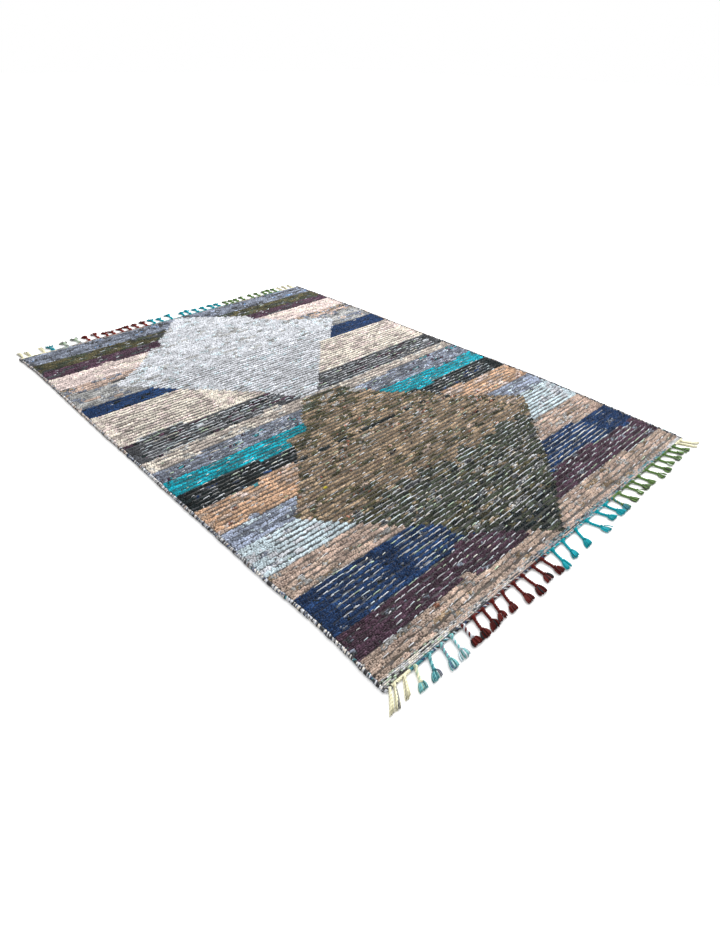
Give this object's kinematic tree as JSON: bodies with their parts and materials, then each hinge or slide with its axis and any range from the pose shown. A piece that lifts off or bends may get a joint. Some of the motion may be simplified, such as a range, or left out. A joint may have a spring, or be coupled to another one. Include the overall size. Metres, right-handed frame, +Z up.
{
  "type": "moroccan rug",
  "caption": "Flat rectangular hand-knotted rug with ribbed rows of short pile, overcast side edges and a knotted tassel fringe at each end.",
  "frame": {"origin": "on the floor, at the middle of the bounding box", "axes": "+X across the rug, +Y along it from the front fringe to the back one, +Z up through the pile"},
  "size_m": [1.9014, 2.8408, 0.0138],
  "materials": {
    "pile_wool": "short wool pile in ribbed rows, with stripes and two lozenges in blues, greens, aubergine, pink, cream and greys",
    "selvedge_wool": "overcast mixed yarn in black, white, cream and blue",
    "fringe_yarn": "knotted yarn tassels in cream, teal, dark red, turquoise and green on a twined cord"
  },
  "bodies": {
    "root": {"rug_field": "pile_wool", "selvedge_left": "selvedge_wool", "selvedge_right": "selvedge_wool", "fringe_front": "fringe_yarn", "fringe_back": "fringe_yarn"}
  },
  "joints": []
}
